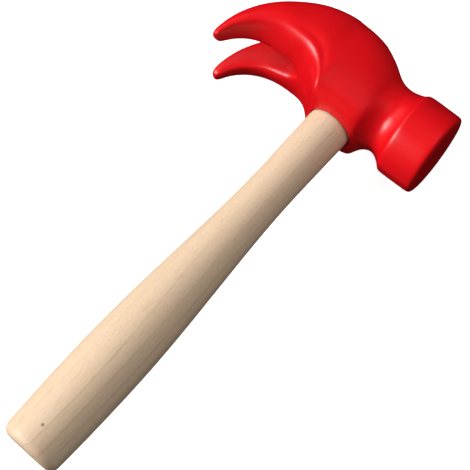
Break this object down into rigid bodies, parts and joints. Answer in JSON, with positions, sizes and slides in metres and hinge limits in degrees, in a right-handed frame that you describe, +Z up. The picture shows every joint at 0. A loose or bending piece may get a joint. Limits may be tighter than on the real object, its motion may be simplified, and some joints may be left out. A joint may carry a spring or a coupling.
{
  "type": "claw hammer with soft moulded head",
  "caption": "Claw hammer with a chubby moulded red head, split curved claws and a turned wooden handle wedged into its eye.",
  "frame": {"origin": "under the middle of the whole hammer, on the surface it lies on", "axes": "+X out of the striking face, +Y along the handle from the butt to the head, +Z up through the cheek, square to the plane of the head and handle"},
  "size_m": [0.1304, 0.278, 0.0575],
  "materials": {
    "head_red": "satin",
    "handle_wood": "satin",
    "wedge_wood": "matte",
    "wedge_steel": "satin"
  },
  "bodies": {
    "root": {"head": "head_red", "handle": "handle_wood", "eye_wedge": "wedge_wood", "steel_wedge_front": "wedge_steel", "steel_wedge_rear": "wedge_steel"}
  },
  "joints": []
}
